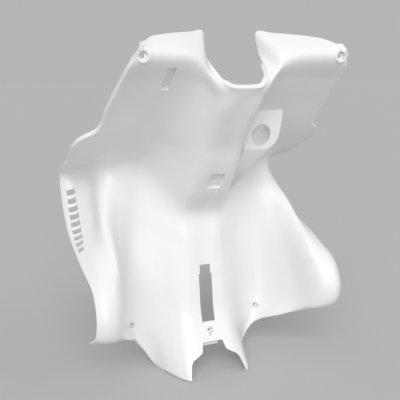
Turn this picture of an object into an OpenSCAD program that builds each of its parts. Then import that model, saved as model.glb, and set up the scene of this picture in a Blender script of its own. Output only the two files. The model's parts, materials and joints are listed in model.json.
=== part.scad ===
/* [Moulding] */
// Wall thickness of the moulding
wall = 2.8; // [2.4:0.1:3.4]
// Width over the outer rims of the lower wings
panel_w = 472; // [450:2:500]
// Depth of the skin, from the top roll to the shelves behind the waist
panel_d = 336; // [320:1:350]
// Height of the skin, from the foot of the tunnel to the top edge
panel_h = 604; // [580:2:625]
// Depth of the return flange along the outer rims
rim_lip = 7; // [5:1:10]
// Depth of the flange along the top edge and round the steering notch
top_lip = 8; // [6:1:12]

/* [Top screws] */
// Distance between the two top screws
top_screw_gap = 340; // [330:1:344]
// Diameter of the round recess that takes a top screw's head
top_recess_d = 15; // [13:0.5:17]
// Diameter of a top screw hole
top_hole_d = 6.5; // [5:0.5:8]

/* [Lower screws] */
// Distance between the two lower screws
low_screw_gap = 258; // [250:1:266]
// Diameter of the round recess that takes a lower screw's head
low_recess_d = 11; // [10:0.5:13]
// Diameter of a lower screw hole
low_hole_d = 5.5; // [4:0.5:6.5]

/* [Key lock pad] */
// Diameter of the ignition lock hole
key_d = 38; // [32:1:40]
// Distance of the lock hole from the centre line
key_x = 77; // [73:1:80]

/* [Bag hook seat] */
// Width of the recess for the bag hook
hook_w = 28; // [24:1:32]
// Height of the recess for the bag hook
hook_h = 35; // [30:1:38]
// Depth of the recess for the bag hook
hook_recess = 5; // [3:0.5:7]
// Diameter of the hook's screw hole
hook_hole_d = 9; // [6:0.5:11]

/* [Slots] */
// Width of the tunnel slot below its shoulders
slot_w = 26; // [22:1:30]
// Height of the tunnel slot
slot_h = 104; // [90:1:110]
// Width of the upright slot in the left wing
wing_slot_w = 8.5; // [6:0.5:11]
// Height of the upright slot in the left wing
wing_slot_h = 40; // [30:1:46]

/* [Side vents] */
// Number of vent openings in each outer wall
vents = 9; // [5:1:9]
// Spacing of the vent openings up the wall
vent_pitch = 18.8; // [16:0.2:19]
// Height of a vent opening
vent_h = 12; // [9:0.5:13]
// Depth of the pocket that holds the vents
pocket_depth = 9; // [4:1:10]

/* [Hidden] */

// Every station runs outwards from the centre line to the rim, on the rider's right.
// A point is [across, forward, up]. The rails through the stations are, in order:
// centre line, column edge, shoulder, notch side, flank top, flank foot, valley, well side, ridge,
// side wall, rim.
stations = [
    // Bottom edge
    [[0, -112, -3], [46, -108, -3], [57, -106, -3], [66, -92, -4], [77, -62, -4], [90, -14, -3],
        [118, -8, 42], [152, -62, 74], [198, -97, 91], [220, -99, 93], [236, -100, 95]],
    // Heel curl
    [[0, -70, 60], [42, -69, 58], [53, -62, 56], [64, -50, 55], [77, -32, 54], [94, -12, 56],
        [127, -1, 72], [164, -62, 100], [202, -136, 110], [219, -139, 113], [235, -130, 114]],
    // Low
    [[0, -53, 100], [40, -52, 100], [51, -46, 101], [62, -36, 102], [76, -22, 103], [96, -7, 105],
        [130, 2, 115], [167, -58, 130], [203, -144, 136], [219, -147, 139], [234, -138, 139]],
    // Low middle
    [[0, -46, 145], [38, -45, 147], [48, -40, 148], [60, -32, 150], [74, -20, 152], [96, -5, 156],
        [128, 4, 163], [163, -44, 176], [198, -128, 184], [217, -132, 184], [233, -123, 181]],
    // Middle
    [[0, -40, 190], [37, -39, 192], [46, -34, 194], [58, -26, 197], [72, -15, 200], [94, -1, 205],
        [124, 6, 213], [157, -30, 221], [190, -92, 228], [213, -85, 222], [235, -55, 216]],
    // Below the waist
    [[0, -34, 235], [36, -33, 238], [44, -28, 241], [55, -20, 247], [69, -10, 256], [90, 2, 266],
        [119, 8, 275], [152, -8, 279], [184, -34, 280], [206, 12, 270], [230, 62, 265]],
    // Waist
    [[0, -30, 280], [36, -28, 283], [44, -24, 289], [54, -18, 301], [67, -10, 322], [85, -2, 352],
        [110, 5, 374], [136, 12, 374], [163, 22, 364], [193, 82, 350], [221, 134, 338]],
    // Above the waist
    [[0, -67, 325], [35.5, -65, 328], [44, -58, 334], [55, -46, 345], [70, -32, 361], [88, -22, 381],
        [112, -16, 394], [138, -12, 396], [168, -4, 392], [200, 16, 383], [229, 40, 376]],
    // Under the step
    [[0, -110, 387], [35, -108, 390], [43, -100, 394], [56, -87, 402], [74, -72, 413], [96, -60, 423],
        [122, -55, 426], [150, -54, 427], [178, -53, 427], [204, -53, 427], [226, -53, 427]],
    // Over the step
    [[0, -118, 402], [35, -116, 405], [43, -110, 409], [56, -99, 416], [74, -87, 426], [96, -76, 436],
        [120, -71, 440], [146, -70, 440], [170, -70, 440], [191, -70, 440], [206, -70, 440]],
    // Wing middle
    [[0, -149, 444], [35, -146, 446], [43, -141, 450], [54, -133, 457], [71, -124, 466], [92, -117, 474],
        [115, -114, 479], [139, -113, 480], [162, -113, 480], [184, -113, 479], [200, -113, 477]],
    // Wing high
    [[0, -182, 488], [35, -179, 490], [42, -176, 496], [50, -171, 505], [62, -165, 514], [82, -161, 520],
        [105, -159, 522], [128, -158, 522], [152, -158, 522], [176, -160, 521], [193, -161, 518]],
    // Front of the top roll
    [[0, -194, 504], [29, -192, 508], [46, -189, 520], [60, -185, 534], [70, -186, 546], [84, -189, 555],
        [102, -192, 560], [126, -194, 562], [150, -197, 564], [171, -200, 562], [184, -197, 552]],
    // Top edge
    [[0, -200, 512], [32, -196, 516], [43.5, -184, 534], [47, -142, 569], [47.5, -135, 600], [72, -146, 598],
        [98, -156, 596], [126, -167, 593], [152, -178, 588], [163.5, -192, 580], [171.5, -202, 566]]
];
// The key lock side of the column is tucked in under the pad by this much, by station and by rail
tuck_rows = [0, 0, 0, 0, 0, 0, 0, 0.3, 0.8, 1, 1, 0.3, 0, 0];
tuck_rails = [0, 0, 3, 10, 20, 26, 14, 4, 0, 0, 0];
rails = len(stations[0]);
rows = len(stations);
rail_steps = [4, 2, 2, 2, 2, 2, 3, 3];
row_steps = [3, 3, 3, 3, 4, 5, 3, 3, 2, 3, 4, 3, 3];
// The stations are drawn at one size, and stretched to the panel's own
drawn_points = [for (s = stations) each s];
function spread(a) = max(a) - min(a);
drawn = [
    2 * max([for (p = drawn_points) p.x]), spread([for (p = drawn_points) p.y]),
    spread([for (p = drawn_points) p.z])
];
stretch = [panel_w / drawn.x, panel_d / drawn.y, panel_h / drawn.z];

function unit(p) = p / norm(p);
function mirrored(p) = [-p.x, p.y, p.z];
function net(i, j) =
    let (p = stations[j][abs(i)], tuck = i > 0 ? tuck_rows[j] * tuck_rails[i] : 0)
    [(sign(i) * p.x - tuck) * stretch.x, p.y * stretch.y, p.z * stretch.z];

// Smooth cubic between b and c, whose slopes follow the neighbours a and d
function slope(a, b, c) =
    let (s = norm(b - a), t = norm(c - b))
    ((b - a) * t / s + (c - b) * s / t) / (s + t);
function cubic(a, b, c, d, t, first, last) =
    let (h = norm(c - b), w = t * t * (3 - 2 * t),
        mb = first ? (c - b) / h : slope(a, b, c), mc = last ? (c - b) / h : slope(b, c, d))
    b * (1 - w) + c * w + h * t * (1 - t) * (mb * (1 - t) - mc * t);
function rail(i, j, t) =
    cubic(j > 0 ? net(i, j - 1) : 0, net(i, j), net(i, j + 1), j < rows - 2 ? net(i, j + 2) : 0, t,
        j == 0, j == rows - 2);
function skin(i, s, j, t) =
    cubic(i > 1 - rails ? rail(i - 1, j, t) : 0, rail(i, j, t), rail(i + 1, j, t),
        i < rails - 2 ? rail(i + 2, j, t) : 0, s, i == 1 - rails, i == rails - 2);

// The pocket that holds the vents is pressed in between the ridge and the rim
function ramp(x, a, b) = let (t = max(0, min(1, (x - a) / (b - a)))) t * t * (3 - 2 * t);
function pocket(u, v) =
    let (i = abs(u))
    pocket_depth * ramp(i, 8.15, 8.9) * (1 - ramp(i, 9.52, 9.78)) * ramp(v, 4.3, 5.2) * (1 - ramp(v, 5.8, 6));

half_cols = [
    for (i = [0 : 7]) for (k = [0 : rail_steps[i] - 1]) i + k / rail_steps[i],
    8, 8.2, 8.5, 8.9, 9.25, 9.52, 9.65, 9.78, 10
];
cols = [for (k = [len(half_cols) - 1 : -1 : 1]) -half_cols[k], each half_cols];
levels = [for (j = [0 : rows - 2]) for (k = [0 : row_steps[j] - 1]) j + k / row_steps[j], rows - 1];
nc = len(cols);
nl = len(levels);
function surf(u, v) =
    let (i = max(1 - rails, min(rails - 2, floor(u))), j = max(0, min(rows - 2, floor(v))))
    skin(i, u - i, j, v - j);
base = [for (v = levels) [for (u = cols) surf(u, v)]];
function inward(grid, j, i) =
    let (a = grid[j][min(i + 1, nc - 1)] - grid[j][max(i - 1, 0)],
        b = grid[min(j + 1, nl - 1)][i] - grid[max(j - 1, 0)][i])
    unit(cross(b, a));
outer = [for (j = [0 : nl - 1]) [for (i = [0 : nc - 1])
    base[j][i] + pocket(cols[i], levels[j]) * inward(base, j, i)]];

// Vertices round the free edge, anticlockwise from the lower left corner, as [row, column]
edge = [
    for (i = [0 : nc - 1]) [0, i],
    for (j = [1 : nl - 1]) [j, nc - 1],
    for (i = [nc - 2 : -1 : 0]) [nl - 1, i],
    for (j = [nl - 2 : -1 : 1]) [j, 0]
];
ne = len(edge);
function on_edge(j, i) = j == 0 || j == nl - 1 || i == 0 || i == nc - 1;
// Direction that leaves the sheet at an edge vertex, within its surface
function outwards(j, i) =
    let (n = inward(outer, j, i),
        d = outer[j][i] - outer[max(1, min(nl - 2, j))][max(1, min(nc - 2, i))])
    unit(d - (d * n) * n);
least_lip = wall + 0.6;
function lip_depth(j) = j == 0 ? least_lip : j == nl - 1 ? top_lip : max(least_lip, rim_lip * ramp(j, 0, 4));
lip_outer = [for (e = edge) outer[e[0]][e[1]] + lip_depth(e[0]) * inward(outer, e[0], e[1])];
lip_inner = [for (k = [0 : ne - 1]) lip_outer[k] - wall * outwards(edge[k][0], edge[k][1])];
inner = [for (j = [0 : nl - 1]) [for (i = [0 : nc - 1])
    outer[j][i] + wall * (inward(outer, j, i) - (on_edge(j, i) ? outwards(j, i) : [0, 0, 0]))]];

// The frame's zero is under the middle of the moulding, on the surface that it stands on
points = concat([for (side = [outer, inner]) for (row = side) each row], lip_outer, lip_inner);
low_z = min([for (p = points) p.z]);
mid_y = (min([for (p = points) p.y]) + max([for (p = points) p.y])) / 2;

function quad(a, b, c, d) = [[a, b, c], [a, c, d]];
function at(side, j, i) = side * nc * nl + j * nc + i;
function rim_at(side, k) =
    let (e = edge[k % ne])
    side < 2 ? at(side, e[0], e[1]) : 2 * nc * nl + (side - 2) * ne + k % ne;
module sheet() {
    faces = [
        for (j = [0 : nl - 2]) for (i = [0 : nc - 2])
            each quad(at(0, j, i), at(0, j + 1, i), at(0, j + 1, i + 1), at(0, j, i + 1)),
        for (j = [0 : nl - 2]) for (i = [0 : nc - 2])
            each quad(at(1, j, i), at(1, j, i + 1), at(1, j + 1, i + 1), at(1, j + 1, i)),
        for (k = [0 : ne - 1]) each quad(rim_at(0, k), rim_at(0, k + 1), rim_at(2, k + 1), rim_at(2, k)),
        for (k = [0 : ne - 1]) each quad(rim_at(2, k), rim_at(2, k + 1), rim_at(3, k + 1), rim_at(3, k)),
        for (k = [0 : ne - 1]) each quad(rim_at(3, k), rim_at(3, k + 1), rim_at(1, k + 1), rim_at(1, k))
    ];
    polyhedron(points, faces);
}

// Heights and depths of the features follow the panel's own
top_screw_z = 0.9272 * panel_h;
low_screw_z = 0.1258 * panel_h;
mid_screw_z = 0.1126 * panel_h;
key_y = -0.3125 * panel_d;
key_z = 0.707 * panel_h;
hook_z = 0.5762 * panel_h;
wing_slot_x = -0.249 * panel_w;
wing_slot_z = 0.871 * panel_h;
shelf_hole = [0.4492 * panel_w, 0.2083 * panel_d, 0.571 * panel_h];
slot_top_z = 0.3096 * panel_h;
shoulder_z = 0.2815 * panel_h;
notch_top_z = 0.0844 * panel_h;
// Length of the bits that go through one wall, and through the tunnel
drill = 40;
tunnel_drill = 80;

// Where the skin lies at a given place across and up, found from a rail and station close by
function seek(x, z, u, v, left = 6) =
    left == 0 ? surf(u, v) :
    let (e = 0.01, p = surf(u, v), du = (surf(u + e, v) - p) / e, dv = (surf(u, v + e) - p) / e,
        det = du.x * dv.z - dv.x * du.z, dx = x - p.x, dz = z - p.z)
    seek(x, z, max(1 - rails, min(rails - 1.02, u + (dx * dv.z - dz * dv.x) / det)),
        max(0, min(rows - 1.02, v + (dz * du.x - dx * du.z) / det)), left - 1);
function on_skin(x, z, u, v) = [x, seek(x, z, u, v).y, z];
top_screw = on_skin(top_screw_gap / 2, top_screw_z, 9, 12);
low_screw = on_skin(low_screw_gap / 2, low_screw_z, 6, 1);
mid_screw = on_skin(0, mid_screw_z, 0.1, 1);
// Every screw place as [point on the skin, recess diameter, hole diameter]
screws = [
    [top_screw, top_recess_d, top_hole_d], [mirrored(top_screw), top_recess_d, top_hole_d],
    [low_screw, low_recess_d, low_hole_d], [mirrored(low_screw), low_recess_d, low_hole_d],
    [mid_screw, low_recess_d, low_hole_d]
];

// A bar that lies along the forward axis
module rod(r, from, to) {
    translate([0, from, 0]) rotate([-90, 0, 0]) cylinder(r = r, h = to - from, $fn = 32);
}

// Round recesses for the screw heads, each with a floor that the screw passes through
boss_wall = 2.5;
recess_depth = 6;
screw_floor = 3;
module screw_bosses() {
    for (s = screws) translate(s[0]) rotate([-90, 0, 0]) rotate_extrude($fn = 32) {
        r = s[1] / 2;
        polygon([[0, 1], [r + 1, 1], [r + boss_wall, recess_depth],
            [r + boss_wall, recess_depth + screw_floor], [0, recess_depth + screw_floor]]);
    }
}
module screw_holes() {
    for (s = screws) translate(s[0]) {
        rod(s[1] / 2, -12, recess_depth);
        rod(s[2] / 2, 0, recess_depth + 20);
    }
}
pin_hole_d = 3;
pin_hole_drop = 7;
module pin_hole() {
    translate([-2, mid_screw.y, mid_screw_z - pin_hole_drop]) rod(pin_hole_d / 2, -drill / 2, drill / 2);
}

// Holes in the shelf under each wing, for the screws that come from below
shelf_hole_d = 5;
module shelf_holes() {
    for (side = [-1, 1]) translate([side * shelf_hole.x, shelf_hole.y, shelf_hole.z])
        cylinder(d = shelf_hole_d, h = drill, $fn = 24);
}

// Key lock pad: a flat face on a boss that grows out of the wing
key_tilt = 7;
pad_foot = [0.0890 * panel_w, -0.1488 * panel_d, 0.5364 * panel_h];
module pad_outline(inset = 0) {
    hull() {
        translate([8.5, 3.5]) circle(29 - inset, $fn = 48);
        translate([-31 + inset, -25.5 + inset]) square([20, 67.5 - 2 * inset]);
        translate([31, 32]) square(10 - inset);
    }
}
module on_pad() { translate([key_x, key_y, key_z]) rotate([90 + key_tilt, 0, 0]) children(); }
module pad_boss(inset, depth) {
    hull() {
        on_pad() translate([0, 0, -inset - 1]) linear_extrude(1) pad_outline(inset);
        on_pad() translate([-6, 12, -depth]) linear_extrude(1) pad_outline(inset + 6);
        translate(pad_foot + inset * [1, 1, 2]) cube([8, 14, 8]);
    }
}
// All that lies before the middle of the wall, round the place where the boss stands
function mid_wall(u, v) =
    let (e = 0.1, up = surf(u, v + e) - surf(u, v - e), across = surf(u + e, v) - surf(u - e, v))
    surf(u, v) + wall / 2 * unit(cross(up, across));
module before_wall() {
    back = [for (v = [6.5 : 0.5 : 11.5]) [for (u = [0.5 : 0.5 : 8]) mid_wall(u, v)]];
    n = len(back[0]);
    m = len(back);
    border = [
        for (i = [0 : n - 1]) i,
        for (j = [1 : m - 1]) j * n + n - 1,
        for (i = [n - 2 : -1 : 0]) (m - 1) * n + i,
        for (j = [m - 2 : -1 : 1]) j * n
    ];
    function cell(k, j, i) = (k * m + j) * n + i;
    back_points = [for (row = back) each row];
    polyhedron(concat(back_points, [for (p = back_points) p - [0, tunnel_drill, 0]]), [
        for (j = [0 : m - 2]) for (i = [0 : n - 2])
            each quad(cell(0, j, i), cell(0, j, i + 1), cell(0, j + 1, i + 1), cell(0, j + 1, i)),
        for (j = [0 : m - 2]) for (i = [0 : n - 2])
            each quad(cell(1, j, i), cell(1, j + 1, i), cell(1, j + 1, i + 1), cell(1, j, i + 1)),
        for (k = [0 : len(border) - 1])
            let (a = border[k], b = border[(k + 1) % len(border)]) each quad(b, a, a + m * n, b + m * n)
    ]);
}

// Seat of the bag hook: a rectangular pan pressed into the face of the column.
// Its own axes are across, up the column, and out of its face.
column_dir = unit(net(0, 12) - net(0, 7));
hook_y = seek(0, hook_z, 0.1, 7.5).y;
module on_column() { translate([0, hook_y, hook_z]) rotate([acos(column_dir.y), 0, 0]) children(); }
module block(w, h, from, to) { translate([-w / 2, -h / 2, from]) cube([w, h, to - from]); }
module pan(w, h, recess) { block(w + 2 * wall, h + 2 * wall, -recess - wall, -wall / 2); }
module hook_cuts() {
    on_column() {
        block(hook_w, hook_h, -hook_recess, drill / 2);
        translate([0, 0, -hook_recess]) cylinder(d = hook_hole_d, h = drill, center = true, $fn = 32);
    }
}

// Steering notch, tunnel slot, arch and tab
slot_neck_w = 21;
module tunnel_slot() {
    translate([0, -tunnel_drill, slot_top_z - slot_h]) {
        translate([-slot_w / 2, 0, 0]) cube([slot_w, tunnel_drill, slot_h - (slot_top_z - shoulder_z)]);
        translate([-slot_neck_w / 2, 0, 0]) cube([slot_neck_w, tunnel_drill, slot_h]);
    }
}
arch_drawn = [[54, -20], [54, 0], [48.5, 18], [43.5, 25], [24, 36], [19.5, 51]];
arch = [for (p = arch_drawn) [p.x * stretch.x, p.y * stretch.z]];
tab_w = 30;
tab_h = 14;
tab_gap = 9;
tab_wall = 2.2;
tab_y = seek(0, notch_top_z, 0.1, 0.8).y;
module locating_tab() {
    translate([-tab_w / 2, tab_y + tab_gap, notch_top_z + 4 - tab_h]) cube([tab_w, tab_wall, tab_h]);
    translate([-tab_w / 2, tab_y + 1, notch_top_z + 4 - tab_wall]) cube([tab_w, tab_gap, tab_wall]);
}
module tunnel_arch() {
    rotate([90, 0, 0]) linear_extrude(panel_d)
        polygon(concat(arch, [for (k = [len(arch) - 1 : -1 : 0]) [-arch[k].x, arch[k].y]]));
}

// Upright slot in the left wing, through the floor of a pan whose axes lie as the hook pan's do
wing_pan_w = 14;
wing_pan_h = 50;
wing_recess = 4;
wing_at = seek(wing_slot_x, wing_slot_z, -7, 11);
wing_dir = unit(surf(-7, 11.5) - surf(-7, 10.5));
module on_wing() {
    translate([wing_slot_x, wing_at.y, wing_slot_z]) rotate([acos(wing_dir.y), 0, 0]) children();
}
module wing_slot() {
    on_wing() {
        block(wing_pan_w, wing_pan_h, -wing_recess, drill / 2);
        translate([wing_slot_w - wing_pan_w, wing_slot_h - wing_pan_h, 0] / 2)
            block(wing_slot_w, wing_slot_h, -drill / 2, 0);
    }
}

// Row of vents up the outer wall, each in line with the wall where it stands
vent_rail = 9.69;
vent_start = 5.6;
vent_w = 9;
function march(v, k) =
    k == 0 ? v : let (e = 0.01, s = norm(surf(vent_rail, v) - surf(vent_rail, v - e)) / e)
    march(v - vent_pitch / s, k - 1);
module vent_row() {
    for (k = [0 : vents - 1]) {
        v = march(vent_start, k);
        p = surf(vent_rail, v);
        d = surf(vent_rail, v + 0.05) - surf(vent_rail, v - 0.05);
        translate(p) rotate([atan2(d.z, d.y) - 90, 0, 0])
            translate([-drill / 2, -vent_w / 2, -vent_h / 2]) cube([drill, vent_w, vent_h]);
    }
}

module leg_shield() {
    color("white") translate([0, -mid_y, -low_z]) {
        difference() {
            union() {
                sheet();
                screw_bosses();
                on_column() pan(hook_w, hook_h, hook_recess);
                on_wing() pan(wing_pan_w, wing_pan_h, wing_recess);
                intersection() {
                    pad_boss(0, tunnel_drill);
                    before_wall();
                }
            }
            pad_boss(wall, tunnel_drill);
            on_pad() cylinder(d = key_d, h = drill, center = true, $fn = 64);
            screw_holes();
            pin_hole();
            shelf_holes();
            hook_cuts();
            tunnel_slot();
            tunnel_arch();
            wing_slot();
            vent_row();
            mirror([1, 0, 0]) vent_row();
        }
        locating_tab();
    }
}
leg_shield();
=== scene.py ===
"""Looks of a scooter's inner leg shield: one glossy white moulding, in a plain studio.

The moulding's outer skin is a smooth surface through listed stations. It is built here with a
finer net than the solids have, gets rounded flanges and an even wall, and then its bosses, pans,
slots and vents. All sizes of the object are in millimetres until a mesh is finished.
"""

import json
import logging
import math
from dataclasses import dataclass, field
from enum import Enum

import bmesh
import bpy
import numpy as np
from mathutils import Matrix, Vector

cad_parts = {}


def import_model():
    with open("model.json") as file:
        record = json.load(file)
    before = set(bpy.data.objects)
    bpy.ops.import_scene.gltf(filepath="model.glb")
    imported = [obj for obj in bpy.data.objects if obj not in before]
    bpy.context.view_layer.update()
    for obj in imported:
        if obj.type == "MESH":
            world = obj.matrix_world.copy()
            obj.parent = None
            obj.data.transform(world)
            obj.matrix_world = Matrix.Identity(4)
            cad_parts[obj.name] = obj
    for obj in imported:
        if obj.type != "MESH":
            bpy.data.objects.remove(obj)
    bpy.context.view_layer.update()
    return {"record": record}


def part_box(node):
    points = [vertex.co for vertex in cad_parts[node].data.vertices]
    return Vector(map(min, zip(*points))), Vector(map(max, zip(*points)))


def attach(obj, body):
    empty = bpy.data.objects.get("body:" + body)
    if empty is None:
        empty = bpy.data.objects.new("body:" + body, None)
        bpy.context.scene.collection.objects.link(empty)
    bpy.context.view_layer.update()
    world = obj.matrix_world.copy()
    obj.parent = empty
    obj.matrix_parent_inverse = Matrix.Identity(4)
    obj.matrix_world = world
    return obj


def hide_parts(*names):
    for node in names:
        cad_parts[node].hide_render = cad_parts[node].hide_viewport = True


LOG = logging.getLogger("leg_shield")
MM = 0.001
NODE = "leg_shield"
EDGE_PLACE = "edge_place"  # Layer with each vertex's number round the sheet's free edge
STEP = 0.01  # Small step between places on the skin, in rails or stations
CENTRE_RAIL = 0.1  # Rail from which points on the centre line are sought
DRILL = 20  # How far a cut reaches past the wall, in mm
BACK = (0, 1, 0)
UP = (0, 0, 1)

Point = tuple[float, float, float]
Pair = tuple[float, float]
Solid = bmesh.types.BMesh


class Side(Enum):
    """The two sides of the vehicle, as the sign of the across axis."""

    LEFT = -1
    RIGHT = 1


class Join(Enum):
    """What a Boolean step does with its tool."""

    ADD = "UNION"
    CUT = "DIFFERENCE"
    SHARE = "INTERSECT"


def unit(vectors: np.ndarray) -> np.ndarray:
    """Vectors of length one, along the last axis."""
    return vectors / np.linalg.norm(vectors, axis=-1, keepdims=True)


def ramp(x: np.ndarray, start: float, end: float) -> np.ndarray:
    """A smooth step from 0 at start to 1 at end."""
    t = np.clip((np.asarray(x, float) - start) / (end - start), 0, 1)
    return t * t * (3 - 2 * t)


def along(points: np.ndarray, places: np.ndarray) -> np.ndarray:
    """Smooth cubic through points, with slopes weighted by the distance to each neighbour.

    Args:
        points: The points to pass through, along the first axis.
        places: Places on the curve, where 0 is the first point and 1 the next.

    Returns:
        One point, or one row of points, for each place.
    """
    last = len(points) - 2
    start = np.clip(np.floor(places).astype(int), 0, last)
    t = (places - start).reshape((-1,) + (1,) * (points.ndim - 1))
    a, b = points[np.maximum(start - 1, 0)], points[start]
    c, d = points[start + 1], points[np.minimum(start + 2, last + 1)]
    length = np.linalg.norm(c - b, axis=-1, keepdims=True)
    straight = (c - b) / length
    never_zero = 1e-9

    def slope(p: np.ndarray, q: np.ndarray, r: np.ndarray) -> np.ndarray:
        """Slope of the curve at the middle one of three points.

        Args:
            p: The point before.
            q: The point itself.
            r: The point after.

        Returns:
            The slope, as a vector.
        """
        s = np.linalg.norm(q - p, axis=-1, keepdims=True) + never_zero
        u = np.linalg.norm(r - q, axis=-1, keepdims=True) + never_zero
        return ((q - p) * u / s + (r - q) * s / u) / (s + u)

    ends = start.reshape(t.shape)
    leave = np.where(ends == 0, straight, slope(a, b, c))
    arrive = np.where(ends == last, straight, slope(b, c, d))
    w = t * t * (3 - 2 * t)
    return b * (1 - w) + c * w + length * t * (1 - t) * (leave * (1 - t) - arrive * t)


def inward(grid: np.ndarray) -> np.ndarray:
    """Unit normals of a net of points, pointing into the wall.

    Args:
        grid: Points as [row, column, axis], rows going up and columns to the right.

    Returns:
        One normal for each point.
    """
    wide = np.pad(grid, ((0, 0), (1, 1), (0, 0)), mode="edge")
    tall = np.pad(grid, ((1, 1), (0, 0), (0, 0)), mode="edge")
    return unit(np.cross(tall[2:] - tall[:-2], wide[:, 2:] - wide[:, :-2]))


def only(kind: type, geometry: list) -> list:
    """The elements of one kind, out of an operator's result."""
    return [g for g in geometry if isinstance(g, kind)]


def as_mesh(bm: Solid, name: str) -> bpy.types.Mesh:
    """Turns a solid into a mesh.

    Args:
        bm: The solid. It is freed.
        name: The mesh's name.

    Returns:
        The mesh.
    """
    mesh = bpy.data.meshes.new(name)
    bm.to_mesh(mesh)
    bm.free()
    return mesh


def in_scene(name: str, data: bpy.types.ID) -> bpy.types.Object:
    """Makes an object and puts it in the scene.

    Args:
        name: The object's name.
        data: Its mesh, lamp or camera.

    Returns:
        The object.
    """
    obj = bpy.data.objects.new(name, data)
    bpy.context.scene.collection.objects.link(obj)
    return obj


def tilted(point: Point, angle: float) -> Matrix:
    """Turns by angle about X, then moves to point."""
    return Matrix.Translation(point) @ Matrix.Rotation(angle, 4, "X")


def outward(place: Matrix) -> Vector:
    """Where a placement's own Z points."""
    return place.to_3x3() @ Vector(UP)


def lay_net(bm: Solid, points: np.ndarray) -> list[tuple[bmesh.types.BMVert, int, int]]:
    """Adds a net of faces through points.

    Args:
        bm: The mesh to add to.
        points: Points as [row, column, axis].

    Returns:
        Each new vertex with its row and column.
    """
    rows, columns = points.shape[0] - 1, points.shape[1] - 1
    placed = []
    for vert in bmesh.ops.create_grid(bm, x_segments=columns, y_segments=rows, size=1)["verts"]:
        row, column = round((vert.co.y + 1) / 2 * rows), round((vert.co.x + 1) / 2 * columns)
        vert.co = points[row, column]
        placed.append((vert, row, column))
    return placed


def bar(radius: float, start: Point, axis: Point, length: float, segments: int = 48) -> Solid:
    """A straight round bar.

    Args:
        radius: Its radius.
        start: The middle of its first end.
        axis: The way it runs.
        length: Its length.
        segments: Number of its sides.

    Returns:
        The bar.
    """
    bm = bmesh.new()
    bmesh.ops.create_cone(
        bm, cap_ends=True, segments=segments, radius1=radius, radius2=radius, depth=length,
        matrix=Matrix.Translation((0, 0, length / 2)),
    )
    turn = Vector(axis).to_track_quat("Z", "Y").to_matrix().to_4x4()
    bmesh.ops.transform(bm, matrix=Matrix.Translation(start) @ turn, verts=bm.verts)
    return bm


def block(low: Point, high: Point, place: Matrix | None = None) -> Solid:
    """A box.

    Args:
        low: Its lowest corner.
        high: Its highest corner.
        place: Where it is moved to, if it is moved.

    Returns:
        The box.
    """
    bm = bmesh.new()
    middle, size = (Vector(low) + Vector(high)) / 2, Vector(high) - Vector(low)
    bmesh.ops.create_cube(bm, size=1, matrix=Matrix.Translation(middle) @ Matrix.Diagonal((*size, 1)))
    if place is not None:
        bmesh.ops.transform(bm, matrix=place, verts=bm.verts)
    return bm


def prism(outline: list[Pair], start: float, length: float, place: Matrix) -> Solid:
    """An extruded outline.

    Args:
        outline: Corners in the local XY plane.
        start: Where the solid begins on local Z.
        length: How long it is along local Z.
        place: Where it is moved to.

    Returns:
        The solid.
    """
    bm = bmesh.new()
    face = bm.faces.new([bm.verts.new((x, y, start)) for x, y in outline])
    raised = bmesh.ops.extrude_face_region(bm, geom=[face])["geom"]
    bmesh.ops.translate(bm, verts=only(bmesh.types.BMVert, raised), vec=(0, 0, length))
    bmesh.ops.recalc_face_normals(bm, faces=bm.faces)
    bmesh.ops.transform(bm, matrix=place, verts=bm.verts)
    return bm


def hull(points: list[Vector]) -> Solid:
    """The smallest convex solid round all points.

    Args:
        points: The points that it holds.

    Returns:
        The solid, with one face for each flat side.
    """
    bm = bmesh.new()
    for point in points:
        bm.verts.new(point)
    made = bmesh.ops.convex_hull(bm, input=bm.verts)
    loose = set(only(bmesh.types.BMVert, made["geom_interior"] + made["geom_unused"]))
    bmesh.ops.delete(bm, geom=list(loose), context="VERTS")
    bmesh.ops.dissolve_limit(bm, angle_limit=math.radians(1), verts=bm.verts, edges=bm.edges)
    bmesh.ops.recalc_face_normals(bm, faces=bm.faces)
    return bm


def gather(parts: list[Solid], name: str) -> bpy.types.Object:
    """Puts separate solids into one object.

    Args:
        parts: The solids. They are freed.
        name: The object's name.

    Returns:
        An object that holds all of them.
    """
    whole = bmesh.new()
    for part in parts:
        bmesh.ops.recalc_face_normals(part, faces=part.faces)
        mesh = as_mesh(part, name)
        whole.from_mesh(mesh)
        bpy.data.meshes.remove(mesh)
    return in_scene(name, as_mesh(whole, name))


def boolean(obj: bpy.types.Object, kind: Join, tool: bpy.types.Object) -> None:
    """Adds a Boolean step.

    Args:
        obj: The object that is changed.
        kind: What is done with the tool.
        tool: The tool.
    """
    step = obj.modifiers.new(tool.name, "BOOLEAN")
    step.operation = kind.value
    step.object = tool
    step.solver = "EXACT"


def overlap(one: Solid, other: Solid) -> Solid:
    """What two solids share.

    Args:
        one: The first solid. It is freed.
        other: The second solid. It is freed.

    Returns:
        The shared part.
    """
    first, second = gather([one], "one"), gather([other], "other")
    boolean(first, Join.SHARE, second)
    shared = bmesh.new()
    shared.from_object(first, bpy.context.evaluated_depsgraph_get())
    for obj in (first, second):
        bpy.data.objects.remove(obj)
    return shared


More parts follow.
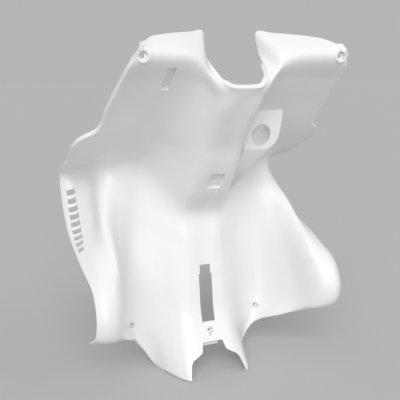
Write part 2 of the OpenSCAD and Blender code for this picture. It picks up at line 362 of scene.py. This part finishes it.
@dataclass(frozen=True)
class Loft:
    """The outer skin. Rails run from the centre line to the rim, stations from the bottom up.

    A place on it is (u, v): u counts rails, negative on the left, and v counts stations.
    """

    stations: tuple[tuple[Point, ...], ...] = (
        # Bottom edge
        ((0, -112, -3), (46, -108, -3), (57, -106, -3), (66, -92, -4), (77, -62, -4), (90, -14, -3),
         (118, -8, 42), (152, -62, 74), (198, -97, 91), (220, -99, 93), (236, -100, 95)),
        # Heel curl
        ((0, -70, 60), (42, -69, 58), (53, -62, 56), (64, -50, 55), (77, -32, 54), (94, -12, 56),
         (127, -1, 72), (164, -62, 100), (202, -136, 110), (219, -139, 113), (235, -130, 114)),
        # Low
        ((0, -53, 100), (40, -52, 100), (51, -46, 101), (62, -36, 102), (76, -22, 103), (96, -7, 105),
         (130, 2, 115), (167, -58, 130), (203, -144, 136), (219, -147, 139), (234, -138, 139)),
        # Low middle
        ((0, -46, 145), (38, -45, 147), (48, -40, 148), (60, -32, 150), (74, -20, 152), (96, -5, 156),
         (128, 4, 163), (163, -44, 176), (198, -128, 184), (217, -132, 184), (233, -123, 181)),
        # Middle
        ((0, -40, 190), (37, -39, 192), (46, -34, 194), (58, -26, 197), (72, -15, 200), (94, -1, 205),
         (124, 6, 213), (157, -30, 221), (190, -92, 228), (213, -85, 222), (235, -55, 216)),
        # Below the waist
        ((0, -34, 235), (36, -33, 238), (44, -28, 241), (55, -20, 247), (69, -10, 256), (90, 2, 266),
         (119, 8, 275), (152, -8, 279), (184, -34, 280), (206, 12, 270), (230, 62, 265)),
        # Waist
        ((0, -30, 280), (36, -28, 283), (44, -24, 289), (54, -18, 301), (67, -10, 322), (85, -2, 352),
         (110, 5, 374), (136, 12, 374), (163, 22, 364), (193, 82, 350), (221, 134, 338)),
        # Above the waist
        ((0, -67, 325), (35.5, -65, 328), (44, -58, 334), (55, -46, 345), (70, -32, 361), (88, -22, 381),
         (112, -16, 394), (138, -12, 396), (168, -4, 392), (200, 16, 383), (229, 40, 376)),
        # Under the step
        ((0, -110, 387), (35, -108, 390), (43, -100, 394), (56, -87, 402), (74, -72, 413), (96, -60, 423),
         (122, -55, 426), (150, -54, 427), (178, -53, 427), (204, -53, 427), (226, -53, 427)),
        # Over the step
        ((0, -118, 402), (35, -116, 405), (43, -110, 409), (56, -99, 416), (74, -87, 426), (96, -76, 436),
         (120, -71, 440), (146, -70, 440), (170, -70, 440), (191, -70, 440), (206, -70, 440)),
        # Wing middle
        ((0, -149, 444), (35, -146, 446), (43, -141, 450), (54, -133, 457), (71, -124, 466), (92, -117, 474),
         (115, -114, 479), (139, -113, 480), (162, -113, 480), (184, -113, 479), (200, -113, 477)),
        # Wing high
        ((0, -182, 488), (35, -179, 490), (42, -176, 496), (50, -171, 505), (62, -165, 514), (82, -161, 520),
         (105, -159, 522), (128, -158, 522), (152, -158, 522), (176, -160, 521), (193, -161, 518)),
        # Front of the top roll
        ((0, -194, 504), (29, -192, 508), (46, -189, 520), (60, -185, 534), (70, -186, 546), (84, -189, 555),
         (102, -192, 560), (126, -194, 562), (150, -197, 564), (171, -200, 562), (184, -197, 552)),
        # Top edge
        ((0, -200, 512), (32, -196, 516), (43.5, -184, 534), (47, -142, 569), (47.5, -135, 600),
         (72, -146, 598), (98, -156, 596), (126, -167, 593), (152, -178, 588), (163.5, -192, 580),
         (171.5, -202, 566)),
    )
    tuck_rows: tuple[float, ...] = (0, 0, 0, 0, 0, 0, 0, 0.3, 0.8, 1, 1, 0.3, 0, 0)
    tuck_rails: tuple[float, ...] = (0, 0, 3, 10, 20, 26, 14, 4, 0, 0, 0)
    pocket_depth: float = 9
    pocket_rails: tuple[Pair, Pair] = ((8.15, 8.9), (9.52, 9.78))
    pocket_stations: tuple[Pair, Pair] = ((4.3, 5.2), (5.8, 6))
    rails: int = 11

    def net(self) -> np.ndarray:
        """The stations' points over both sides, as [station, rail, axis].

        Returns:
            The points, of which the right side is tucked in under the lock's wing.
        """
        right = np.array(self.stations, float)
        tucked = right.copy()
        tucked[:, :, 0] -= np.outer(self.tuck_rows, self.tuck_rails)
        left = right[:, :0:-1] * (-1, 1, 1)
        return np.concatenate([left, tucked], axis=1)

    def grid(self, across: np.ndarray, up: np.ndarray) -> np.ndarray:
        """Skin points over all pairs of across and up, as [up, across, axis], with the vent pockets.

        Args:
            across: Rail places, from 1 - rails to rails - 1.
            up: Station places, from 0 at the bottom edge.

        Returns:
            The points of the net.
        """
        rows = along(self.net(), up)
        skin = np.swapaxes(along(np.swapaxes(rows, 0, 1), across + self.rails - 1), 0, 1)
        (falls, rises), (begins, ends) = self.pocket_rails, self.pocket_stations
        i = np.abs(across)
        inner = ramp(i, *falls) * (1 - ramp(i, *rises))
        depth = self.pocket_depth * np.outer(ramp(up, *begins) * (1 - ramp(up, *ends)), inner)
        return skin + depth[:, :, None] * inward(skin)

    def point(self, u: float, v: float) -> np.ndarray:
        """The bare skin's point at one place."""
        rows = along(self.net(), np.array([v]))[0]
        return along(rows, np.array([u + self.rails - 1]))[0]

    def seek(self, x: float, z: float, u: float, v: float, steps: int = 6) -> np.ndarray:
        """The skin's point at a given distance across and height.

        Args:
            x: Distance across, in mm.
            z: Height, in mm.
            u: Rail close to the point.
            v: Station close to the point.
            steps: Number of Newton steps.

        Returns:
            The point (x, y, z) on the skin.
        """
        for _ in range(steps):
            p = self.point(u, v)
            du, dv = (self.point(u + STEP, v) - p) / STEP, (self.point(u, v + STEP) - p) / STEP
            det = du[0] * dv[2] - dv[0] * du[2]
            dx, dz = x - p[0], z - p[2]
            u += (dx * dv[2] - dz * dv[0]) / det
            v += (dz * du[0] - dx * du[2]) / det
        return np.array([x, self.point(u, v)[1], z])


@dataclass(frozen=True)
class GlossPlastic:
    """Moulded plastic with a polished skin."""

    name: str = "gloss_white_plastic"
    colour: Point = (0.80, 0.805, 0.815)
    roughness: float = 0.35
    ripple_scale: float = 60.0
    ripple_depth: float = 0.00004
    ripple_strength: float = 0.3

    def material(self) -> bpy.types.Material:
        """Builds the material, with a faint ripple in its surface.

        Returns:
            A material for the moulding.
        """
        made = bpy.data.materials.new(self.name)
        made.use_nodes = True
        nodes, links = made.node_tree.nodes, made.node_tree.links
        shader = nodes["Principled BSDF"]
        shader.inputs["Base Color"].default_value = (*self.colour, 1)
        shader.inputs["Roughness"].default_value = self.roughness
        place = nodes.new("ShaderNodeTexCoord")
        ripple = nodes.new("ShaderNodeTexNoise")
        ripple.inputs["Scale"].default_value = self.ripple_scale
        bump = nodes.new("ShaderNodeBump")
        bump.inputs["Strength"].default_value = self.ripple_strength
        bump.inputs["Distance"].default_value = self.ripple_depth
        links.new(place.outputs["Object"], ripple.inputs["Vector"])
        links.new(ripple.outputs["Fac"], bump.inputs["Height"])
        links.new(bump.outputs["Normal"], shader.inputs["Normal"])
        return made


@dataclass
class Skin:
    """The bare sheet with its rounded return flanges and an even wall."""

    loft: Loft
    wall: float = 2.8
    rim_lip: float = 7
    top_lip: float = 8
    edge_margin: float = 0.6
    corner_radius: float = 1.8
    corner_steps: int = 4
    per_rail: int = 7
    per_rail_at_pocket: int = 16
    pocket_from_rail: int = 8
    last_inner_rail: float = 9.78
    last_inner_station: float = 12.67
    per_station: int = 9
    rim_lip_full_at: float = 4 / 3
    weld: float = 0.001

    def across(self) -> np.ndarray:
        """Rail places of the net's columns.

        Returns:
            The places from rim to rim, closer together in the pockets.
        """
        coarse = np.arange(0, self.pocket_from_rail, 1 / self.per_rail)
        fine = np.arange(self.pocket_from_rail, self.last_inner_rail, 1 / self.per_rail_at_pocket)
        half = np.append(np.concatenate([coarse, fine]), self.loft.rails - 1)
        return np.concatenate([-half[:0:-1], half])

    def up(self) -> np.ndarray:
        """Station places of the net's rows."""
        inner = np.arange(0, self.last_inner_station, 1 / self.per_station)
        return np.append(inner, len(self.loft.stations) - 1)

    def lip_depth(self, row: int, rows: int, v: float) -> float:
        """Depth of the flange.

        Args:
            row: Number of the net's row.
            rows: How many rows there are.
            v: The row's station place.

        Returns:
            The depth, which grows from the bottom edge up.
        """
        least = self.wall + self.edge_margin
        if row == 0:
            return least
        if row == rows - 1:
            return self.top_lip
        return max(least, self.rim_lip * float(ramp(v, 0, self.rim_lip_full_at)))

    def net(self, bm: Solid, skin: np.ndarray, rings: np.ndarray) -> None:
        """Adds one side of the sheet.

        Args:
            bm: The mesh to add to.
            skin: Points as [row, column, axis].
            rings: For each point, its number round the free edge, or -1.
        """
        placed = lay_net(bm, skin)
        number = bm.verts.layers.int[EDGE_PLACE]
        for vert, row, column in placed:
            vert[number] = int(rings[row, column])

    def edge_loop(self, rows: int, columns: int) -> list[tuple[int, int]]:
        """Goes once round the net's free edge.

        Args:
            rows: Number of rows.
            columns: Number of columns.

        Returns:
            The row and column of each point of the edge.
        """
        bottom = [(0, i) for i in range(columns)]
        right = [(j, columns - 1) for j in range(1, rows)]
        top = [(rows - 1, i) for i in range(columns - 2, -1, -1)]
        left = [(j, 0) for j in range(rows - 2, 0, -1)]
        return bottom + right + top + left

    def build(self) -> bpy.types.Object:
        """Makes the sheet: its outer side, the flanges round its free edge, and its inner side.

        Returns:
            The closed sheet, as an object.
        """
        across, up = self.across(), self.up()
        skin = self.loft.grid(across, up)
        normals = inward(skin)
        rows, columns = skin.shape[:2]
        rings = np.full((rows, columns), -1)
        loop = self.edge_loop(rows, columns)
        for number, place in enumerate(loop):
            rings[place] = number
        j, i = np.array(loop).T
        edge, into = skin[j, i], normals[j, i]
        leave = edge - skin[np.clip(j, 1, rows - 2), np.clip(i, 1, columns - 2)]
        leave = unit(leave - np.sum(leave * into, axis=1, keepdims=True) * into)
        depth = np.array([[self.lip_depth(row, rows, up[row])] for row in j])
        turns = [math.pi / 2 * k / self.corner_steps for k in range(self.corner_steps + 1)]
        steps = [
            edge + self.corner_radius * ((math.sin(t) - 1) * leave + (1 - math.cos(t)) * into) for t in turns
        ]
        steps += [
            edge + depth * into, edge + depth * into - self.wall * leave, edge + self.wall * (into - leave),
        ]
        outer, inner = skin.copy(), skin + self.wall * normals
        outer[j, i], inner[j, i] = steps[0], steps[-1]

        bm = bmesh.new()
        bm.verts.layers.int.new(EDGE_PLACE)
        self.net(bm, outer, rings)
        number = bm.verts.layers.int[EDGE_PLACE]
        open_edges = [e for e in bm.edges if e.is_boundary]
        for step in steps[1:]:
            made = bmesh.ops.extrude_edge_only(bm, edges=open_edges)["geom"]
            for vert in only(bmesh.types.BMVert, made):
                vert.co = step[vert[number]]
            open_edges = [e for e in only(bmesh.types.BMEdge, made) if e.is_boundary]
        self.net(bm, inner, rings)
        bmesh.ops.remove_doubles(bm, verts=bm.verts, dist=self.weld)
        bmesh.ops.recalc_face_normals(bm, faces=bm.faces)
        return in_scene(NODE, as_mesh(bm, NODE))


@dataclass
class Feature:
    """Something that is joined to the skin or cut out of it."""

    loft: Loft

    def adds(self) -> list[Solid]:
        """Solids that are joined first."""
        return []

    def wide_cuts(self) -> list[Solid]:
        """Solids that are cut out next."""
        return []

    def narrow_cuts(self) -> list[Solid]:
        """Solids that are cut out after the wide ones."""
        return []

    def last_adds(self) -> list[Solid]:
        """Solids that are joined when all cuts are made."""
        return []


@dataclass
class ScrewPlaces(Feature):
    """The five recessed screw places, the small pin hole and the holes in the shelves."""

    top_gap: float = 340
    top_z: float = 560.03
    top_near: Pair = (9, 12)
    top_recess: float = 15
    top_hole: float = 6.5
    low_gap: float = 258
    low_z: float = 75.98
    low_near: Pair = (6, 1)
    mid_z: float = 68.01
    mid_near: Pair = (CENTRE_RAIL, 1)
    low_recess: float = 11
    low_hole: float = 5.5
    boss_wall: float = 2.5
    boss_start: float = 1
    recess_reach: float = 12
    recess_depth: float = 6
    floor: float = 3
    pin_hole: float = 3
    pin_aside: float = 2
    pin_drop: float = 7
    shelf_hole: float = 5
    shelf_place: Point = (212, 70, 345)

    def places(self) -> list[tuple[np.ndarray, float, float]]:
        """Finds the screws.

        Returns:
            Each screw as its point on the skin, its recess radius and its hole radius.
        """
        found = []
        for x, z, near, recess, hole in (
            (self.top_gap / 2, self.top_z, self.top_near, self.top_recess, self.top_hole),
            (self.low_gap / 2, self.low_z, self.low_near, self.low_recess, self.low_hole),
        ):
            point = self.loft.seek(x, z, *near)
            found += [(point * (side.value, 1, 1), recess / 2, hole / 2) for side in Side]
        return found + [(self.middle(), self.low_recess / 2, self.low_hole / 2)]

    def middle(self) -> np.ndarray:
        """The middle screw's point on the skin."""
        return self.loft.seek(0, self.mid_z, *self.mid_near)

    def adds(self) -> list[Solid]:
        """Bosses behind the recesses."""
        length = self.recess_depth + self.floor - self.boss_start
        return [bar(recess + self.boss_wall, tuple(p + (0, self.boss_start, 0)), BACK, length)
                for p, recess, _ in self.places()]

    def wide_cuts(self) -> list[Solid]:
        """The recesses and the holes in the shelves under the wings.

        Returns:
            One bar for each.
        """
        reach = self.recess_reach
        cuts = [bar(recess, tuple(p - (0, reach, 0)), BACK, reach + self.recess_depth)
                for p, recess, _ in self.places()]
        x, y, z = self.shelf_place
        return cuts + [bar(self.shelf_hole / 2, (side.value * x, y, z), UP, 2 * DRILL) for side in Side]

    def narrow_cuts(self) -> list[Solid]:
        """The screw holes and the pin hole.

        Returns:
            One bar for each.
        """
        cuts = [bar(hole, tuple(p), BACK, self.recess_depth + DRILL) for p, _, hole in self.places()]
        x, y, z = self.middle()
        pin = (x - self.pin_aside, y - DRILL, z - self.pin_drop)
        return cuts + [bar(self.pin_hole / 2, pin, BACK, 2 * DRILL)]


@dataclass
class KeyPad(Feature):
    """The boss on the right wing that holds the ignition lock. Its face lies in its own XY plane."""

    wall: float = 2.8
    key_d: float = 38
    centre: Point = (77, -105, 427.03)
    tilt: float = 7
    face_low: Pair = (-31, -25.5)
    face_high: Pair = (41, 42)
    face_right_from: float = 32
    face_low_to: float = -11
    round_centre: Pair = (8.5, 3.5)
    round_radius: float = 29
    segments: int = 96
    depth: float = 80
    back_shift: Point = (-6, 12, 0)
    back_inset: float = 6
    foot: Point = (37, -50, 324)
    foot_size: Point = (8, 14, 8)
    foot_inset: Point = (1, 1, 2)
    edge_radius: float = 1.5
    edge_steps: int = 4
    patch_rails: Pair = (0.5, 8)
    patch_stations: Pair = (6.5, 11.5)
    patch_step: float = 0.25

    def place(self) -> Matrix:
        """Moves from the pad's own axes, with Z out of its face, to the moulding's."""
        return tilted(self.centre, math.radians(90 + self.tilt))

    def outline(self, inset: float, level: float) -> list[Vector]:
        """Points round the pad's face.

        Args:
            inset: How far they are brought in.
            level: Where they lie along the pad's own Z.

        Returns:
            The points, not in order.
        """
        turns = [2 * math.pi * k / self.segments for k in range(self.segments)]
        (x, y), radius = self.round_centre, self.round_radius - inset
        points = [(x + radius * math.cos(t), y + radius * math.sin(t)) for t in turns]
        left, low = (v + inset for v in self.face_low)
        right, top = (v - inset for v in self.face_high)
        points += [(left, low), (left, top), (right, top), (right, self.face_right_from),
                   (self.face_low_to, low)]
        return [Vector((*p, level)) for p in points]

    def boss(self, inset: float) -> Solid:
        """The boss from its face to its foot.

        Args:
            inset: How far its sides are brought in.

        Returns:
            The solid.
        """
        place = self.place()
        points = [place @ p for p in self.outline(inset, -inset)]
        back = self.outline(inset + self.back_inset, -self.depth)
        points += [place @ (p + Vector(self.back_shift)) for p in back]
        low = Vector(self.foot) + inset * Vector(self.foot_inset)
        wide, deep, tall = self.foot_size
        points += [low + Vector((x, y, z))
                   for x in (0, wide - 2 * inset) for y in (0, deep) for z in (0, tall)]
        return hull(points)

    def before_wall(self) -> Solid:
        """All that lies before the middle of the wall, round the place where the boss stands.

        Returns:
            The solid.
        """
        across, up = (np.arange(low, high + STEP, self.patch_step)
                      for low, high in (self.patch_rails, self.patch_stations))
        skin = self.loft.grid(across, up)
        bm = bmesh.new()
        lay_net(bm, skin + self.wall / 2 * inward(skin))
        front = bmesh.ops.extrude_face_region(bm, geom=list(bm.faces))["geom"]
        bmesh.ops.translate(bm, verts=only(bmesh.types.BMVert, front), vec=(0, -self.depth, 0))
        bmesh.ops.recalc_face_normals(bm, faces=bm.faces)
        return bm

    def adds(self) -> list[Solid]:
        """The boss, with its face's edge rounded.

        Returns:
            The part of it that stands before the wall.
        """
        bm = self.boss(0)
        out = outward(self.place())
        nearly_along = 0.999
        face = max(bm.faces, key=lambda f: f.calc_area() if f.normal.dot(out) > nearly_along else 0)
        bmesh.ops.bevel(bm, geom=list(face.edges), offset=self.edge_radius, segments=self.edge_steps,
                        profile=0.5, affect="EDGES", material=-1, clamp_overlap=True)
        return [overlap(bm, self.before_wall())]

    def wide_cuts(self) -> list[Solid]:
        """The hollow behind the face."""
        return [self.boss(self.wall)]

    def narrow_cuts(self) -> list[Solid]:
        """The lock's hole.

        Returns:
            One bar, square to the pad's face.
        """
        axis = outward(self.place())
        start = tuple(Vector(self.centre) - DRILL * axis)
        return [bar(self.key_d / 2, start, tuple(axis), 2 * DRILL, self.segments)]


@dataclass
class Pan(Feature):
    """A shallow rectangular pan, pressed into the skin."""

    wall: float = 2.8
    size: Pair = (28, 35)
    recess: float = 5

    def place(self) -> Matrix:
        """Moves from the pan's own axes, with Z out of the skin, to the moulding's."""
        raise NotImplementedError

    def box(self, margin: float, low: float, high: float) -> Solid:
        """A box of the pan's outline, grown by margin, between two levels."""
        w, h = self.size[0] / 2 + margin, self.size[1] / 2 + margin
        return block((-w, -h, low), (w, h, high), self.place())

    def adds(self) -> list[Solid]:
        """The pan's walls and floor."""
        return [self.box(self.wall, -self.recess - self.wall, -self.wall / 2)]

    def wide_cuts(self) -> list[Solid]:
        """The pan's inside."""
        return [self.box(0, -self.recess, DRILL)]


@dataclass
class HookPan(Pan):
    """The pan for the bag hook, low on the column."""

    hole: float = 9
    z: float = 348.03
    station: float = 7.5
    face_stations: tuple[int, int] = (7, 12)

    def place(self) -> Matrix:
        """Moves from the pan's own axes, with Z out of the column's face, to the moulding's.

        Returns:
            The placement.
        """
        centre = self.loft.net()[:, self.loft.rails - 1]
        low, high = self.face_stations
        up = Vector(centre[high] - centre[low]).normalized()
        return tilted(self.loft.seek(0, self.z, CENTRE_RAIL, self.station), math.acos(up.y))

    def narrow_cuts(self) -> list[Solid]:
        """The hook's screw hole.

        Returns:
            One bar, square to the pan's floor.
        """
        place = self.place()
        axis = outward(place)
        start = tuple(place.translation - (self.recess + DRILL) * axis)
        return [bar(self.hole / 2, start, tuple(axis), 2 * DRILL)]


@dataclass
class WingSlot(Pan):
    """The upright slot in the left wing, through the floor of a pan."""

    size: Pair = (14, 50)
    recess: float = 4
    width: float = 8.5
    height: float = 40
    x: float = -117.53
    z: float = 526.08
    near: Pair = (-7, 11)
    half_step: float = 0.5

    def place(self) -> Matrix:
        """Moves from the pan's own axes, with Z out of the wing's face, to the moulding's.

        Returns:
            The placement.
        """
        u, v = self.near
        rise = self.loft.point(u, v + self.half_step) - self.loft.point(u, v - self.half_step)
        up = Vector(rise).normalized()
        return tilted(self.loft.seek(self.x, self.z, u, v), math.acos(up.y))

    def narrow_cuts(self) -> list[Solid]:
        """The slot, in the pan's lower left corner."""
        w, h = self.size
        return [block((-w / 2, -h / 2, -DRILL), (self.width - w / 2, self.height - h / 2, 0), self.place())]


@dataclass
class TunnelEnd(Feature):
    """The slot up the tunnel, the arch at its foot and the locating tab in the arch's notch."""

    slot_w: float = 26
    neck_w: float = 21
    slot_h: float = 104
    slot_top: float = 187
    slot_reach: float = 80
    shoulder: float = 170
    neck_overlap: float = 5
    arch: tuple[Pair, ...] = ((54, -20), (54, 0), (48.5, 18), (43.5, 25), (24, 36), (19.5, 51))
    arch_reach: float = 140
    notch_top: float = 51
    notch_station: float = 0.8
    tab_w: float = 30
    tab_h: float = 14
    tab_gap: float = 9
    tab_wall: float = 2.2
    tab_rise: float = 4
    tab_start: float = 1

    def wide_cuts(self) -> list[Solid]:
        """The slot's body and the arch.

        Returns:
            The two solids.
        """
        w, low = self.slot_w / 2, self.slot_top - self.slot_h
        outline = list(self.arch) + [(-x, z) for x, z in reversed(self.arch)]
        stand = Matrix.Rotation(math.pi / 2, 4, "X")
        return [block((-w, -self.slot_reach, low), (w, 0, self.shoulder)),
                prism(outline, 0, self.arch_reach, stand)]

    def narrow_cuts(self) -> list[Solid]:
        """The slot's narrower top."""
        w = self.neck_w / 2
        return [block((-w, -self.slot_reach, self.shoulder - self.neck_overlap), (w, 0, self.slot_top))]

    def last_adds(self) -> list[Solid]:
        """The locating tab, on a short shelf.

        Returns:
            The tab, as one solid.
        """
        skin = self.loft.seek(0, self.notch_top, CENTRE_RAIL, self.notch_station)[1]
        front, face = skin + self.tab_start, skin + self.tab_gap
        top, back = self.notch_top + self.tab_rise, face + self.tab_wall
        outline = [
            (front, top), (front, top - self.tab_wall), (face, top - self.tab_wall), (face, top - self.tab_h),
            (back, top - self.tab_h), (back, top),
        ]
        lay = Matrix(((0, 0, 1, 0), (1, 0, 0, 0), (0, 1, 0, 0), (0, 0, 0, 1)))
        return [prism(outline, -self.tab_w / 2, self.tab_w, lay)]


@dataclass
class Vents(Feature):
    """The row of openings up each outer wall."""

    count: int = 9
    pitch: float = 18.8
    height: float = 12
    width: float = 9
    rail: float = 9.69
    start: float = 5.6
    half_step: float = 0.05

    def wide_cuts(self) -> list[Solid]:
        """One box for each opening, in line with the wall where it stands.

        Returns:
            The boxes of both sides.
        """
        cuts, v = [], self.start
        w, h = self.width / 2, self.height / 2
        for _ in range(self.count):
            p = self.loft.point(self.rail, v)
            above, below = (self.loft.point(self.rail, v + s) for s in (self.half_step, -self.half_step))
            d = above - below
            turn = math.atan2(d[2], d[1]) - math.pi / 2
            for side in Side:
                place = tilted((side.value * p[0], p[1], p[2]), turn)
                cuts.append(block((-DRILL, -w, -h), (DRILL, w, h), place))
            v -= self.pitch * STEP / float(np.linalg.norm(p - self.loft.point(self.rail, v - STEP)))
        return cuts


@dataclass
class Moulding:
    """The whole panel, as one piece."""

    loft: Loft = field(default_factory=Loft)
    finish: GlossPlastic = field(default_factory=GlossPlastic)
    crease: float = 32
    weld: float = 0.005

    def shift(self, record: dict) -> Vector:
        """How far the frame's zero lies from the design's.

        Args:
            record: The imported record, which holds the middle screw's mount.

        Returns:
            The shift, in mm.
        """
        screws = ScrewPlaces(self.loft)
        skin = screws.middle()
        middle = next(m for m in record["mounts"] if m["name"] == "middle_screw")["pos_m"]
        y = middle[1] / MM - skin[1] - screws.recess_depth - screws.floor / 2
        return Vector((0, y, middle[2] / MM - skin[2]))

    def build(self, record: dict, low: Vector, high: Vector) -> bpy.types.Object:
        """Builds the panel in the part's frame.

        Args:
            record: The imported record, which holds the mounts.
            low: Lowest corner of the solids' box, in metres.
            high: Highest corner of the solids' box, in metres.

        Returns:
            The finished object, at the origin.
        """
        obj = Skin(self.loft).build()
        features = [kind(self.loft) for kind in (ScrewPlaces, KeyPad, HookPan, TunnelEnd, WingSlot, Vents)]
        steps = (
            ("adds", Join.ADD, [part for f in features for part in f.adds()]),
            ("wide_cuts", Join.CUT, [part for f in features for part in f.wide_cuts()]),
            ("narrow_cuts", Join.CUT, [part for f in features for part in f.narrow_cuts()]),
            ("last_adds", Join.ADD, [part for f in features for part in f.last_adds()]),
        )
        tools = []
        for name, kind, parts in steps:
            tools.append(gather(parts, name))
            boolean(obj, kind, tools[-1])
        graph = bpy.context.evaluated_depsgraph_get()
        mesh = bpy.data.meshes.new_from_object(obj.evaluated_get(graph))
        bare = obj.data
        obj.modifiers.clear()
        obj.data = mesh
        bpy.data.meshes.remove(bare)
        for tool in tools:
            bpy.data.objects.remove(tool)
        mesh.name = NODE
        self.finish_mesh(mesh, self.shift(record), low, high)
        mesh.materials.clear()
        mesh.materials.append(self.finish.material())
        return obj

    def finish_mesh(self, mesh: bpy.types.Mesh, shift: Vector, low: Vector, high: Vector) -> None:
        """Brings a mesh in millimetres into the frame, and sets its creases.

        Args:
            mesh: The mesh.
            shift: How far it moves, in mm.
            low: Lowest corner of the solids' box, in metres. The mesh is kept within the box.
            high: Highest corner of the solids' box, in metres.
        """
        bm = bmesh.new()
        bm.from_mesh(mesh)
        bmesh.ops.remove_doubles(bm, verts=bm.verts, dist=self.weld)
        bmesh.ops.translate(bm, verts=bm.verts, vec=shift)
        bmesh.ops.scale(bm, verts=bm.verts, vec=(MM, MM, MM))
        for vert in bm.verts:
            vert.co = [min(max(c, a), b) for c, a, b in zip(vert.co, low, high)]
        for face in bm.faces:
            face.smooth = True
            face.material_index = 0
        limit = math.radians(self.crease)
        for edge in bm.edges:
            edge.smooth = edge.is_manifold and edge.calc_face_angle(0) < limit
        bm.to_mesh(mesh)
        bm.free()


@dataclass(frozen=True)
class Lamp:
    """An even light that comes from one direction, softened over spread degrees."""

    name: str
    towards: Point
    spread: float
    power: float

    def build(self) -> None:
        """Puts the lamp in the scene."""
        light = bpy.data.lights.new(self.name, "SUN")
        light.angle = math.radians(self.spread)
        light.energy = self.power
        in_scene(self.name, light).rotation_euler = Vector(self.towards).to_track_quat("Z", "Y").to_euler()


@dataclass
class Studio:
    """A pale floor, a broad key light with a weak fill, and the camera at the photograph's angle."""

    eye_mm: Point = (-518.4, -1160.1, 555.6)
    right: Point = (0.9103, -0.414, 0.0)
    up: Point = (0.0818, 0.1797, 0.9803)
    lens: float = 63.0
    sensor: float = 36.0
    pale: Point = (0.5, 0.5, 0.51)
    floor_size: float = 30.0
    floor_roughness: float = 0.9
    floor_gloss: float = 0.1
    backdrop: Point = (0.465, 0.465, 0.475)
    world_light: float = 0.58
    lamps: tuple[Lamp, ...] = (
        Lamp("key", (-0.37, -0.78, 0.5), 45, 1.9),
        Lamp("fill", (0.61, -0.61, 0.5), 30, 0.3),
    )

    def floor(self) -> bpy.types.Object:
        """Makes a wide plain floor under the object.

        Returns:
            The floor.
        """
        bm = bmesh.new()
        bmesh.ops.create_grid(bm, x_segments=1, y_segments=1, size=self.floor_size / 2)
        mesh = as_mesh(bm, "floor")
        made = bpy.data.materials.new("pale_floor")
        made.use_nodes = True
        shader = made.node_tree.nodes["Principled BSDF"]
        shader.inputs["Base Color"].default_value = (*self.pale, 1)
        shader.inputs["Roughness"].default_value = self.floor_roughness
        shader.inputs["Specular IOR Level"].default_value = self.floor_gloss
        mesh.materials.append(made)
        return in_scene("floor", mesh)

    def world(self) -> None:
        """Lights the scene evenly from all sides, with a pale backdrop that only the camera sees."""
        world = bpy.data.worlds.new("studio")
        bpy.context.scene.world = world
        world.use_nodes = True
        nodes, links = world.node_tree.nodes, world.node_tree.links
        nodes.clear()
        light, backdrop = nodes.new("ShaderNodeBackground"), nodes.new("ShaderNodeBackground")
        light.inputs["Color"].default_value = (1, 1, 1, 1)
        light.inputs["Strength"].default_value = self.world_light
        backdrop.inputs["Color"].default_value = (*self.backdrop, 1)
        backdrop.inputs["Strength"].default_value = 1.0
        path, mix, out = (nodes.new("ShaderNodeLightPath"), nodes.new("ShaderNodeMixShader"),
                          nodes.new("ShaderNodeOutputWorld"))
        links.new(path.outputs["Is Camera Ray"], mix.inputs["Fac"])
        links.new(light.outputs["Background"], mix.inputs[1])
        links.new(backdrop.outputs["Background"], mix.inputs[2])
        links.new(mix.outputs["Shader"], out.inputs["Surface"])

    def camera(self, shift: Vector) -> None:
        """Puts the camera where the photograph was taken from.

        Args:
            shift: How far the frame's zero lies from the design's, in mm.
        """
        data = bpy.data.cameras.new("camera")
        data.lens = self.lens
        data.sensor_width = self.sensor
        right, up = Vector(self.right).normalized(), Vector(self.up).normalized()
        turn = Matrix((right, up, right.cross(up))).transposed().to_4x4()
        obj = in_scene("camera", data)
        obj.matrix_world = Matrix.Translation((Vector(self.eye_mm) + shift) * MM) @ turn
        bpy.context.scene.camera = obj

    def build(self, shift: Vector) -> None:
        """Sets the scene up round the object.

        Args:
            shift: How far the frame's zero lies from the design's, in mm.
        """
        self.floor()
        self.world()
        for lamp in self.lamps:
            lamp.build()
        self.camera(shift)
        bpy.context.scene.view_settings.view_transform = "Standard"


def main() -> None:
    """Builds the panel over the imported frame, then the studio."""
    logging.basicConfig(level=logging.INFO, format="%(message)s")
    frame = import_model()
    moulding = Moulding()
    low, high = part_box(NODE)
    panel = moulding.build(frame["record"], low, high)
    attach(panel, "root")
    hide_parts(NODE)
    LOG.info("%s: %d faces", panel.name, len(panel.data.polygons))
    Studio().build(moulding.shift(frame["record"]))


if __name__ == "__main__":
    main()
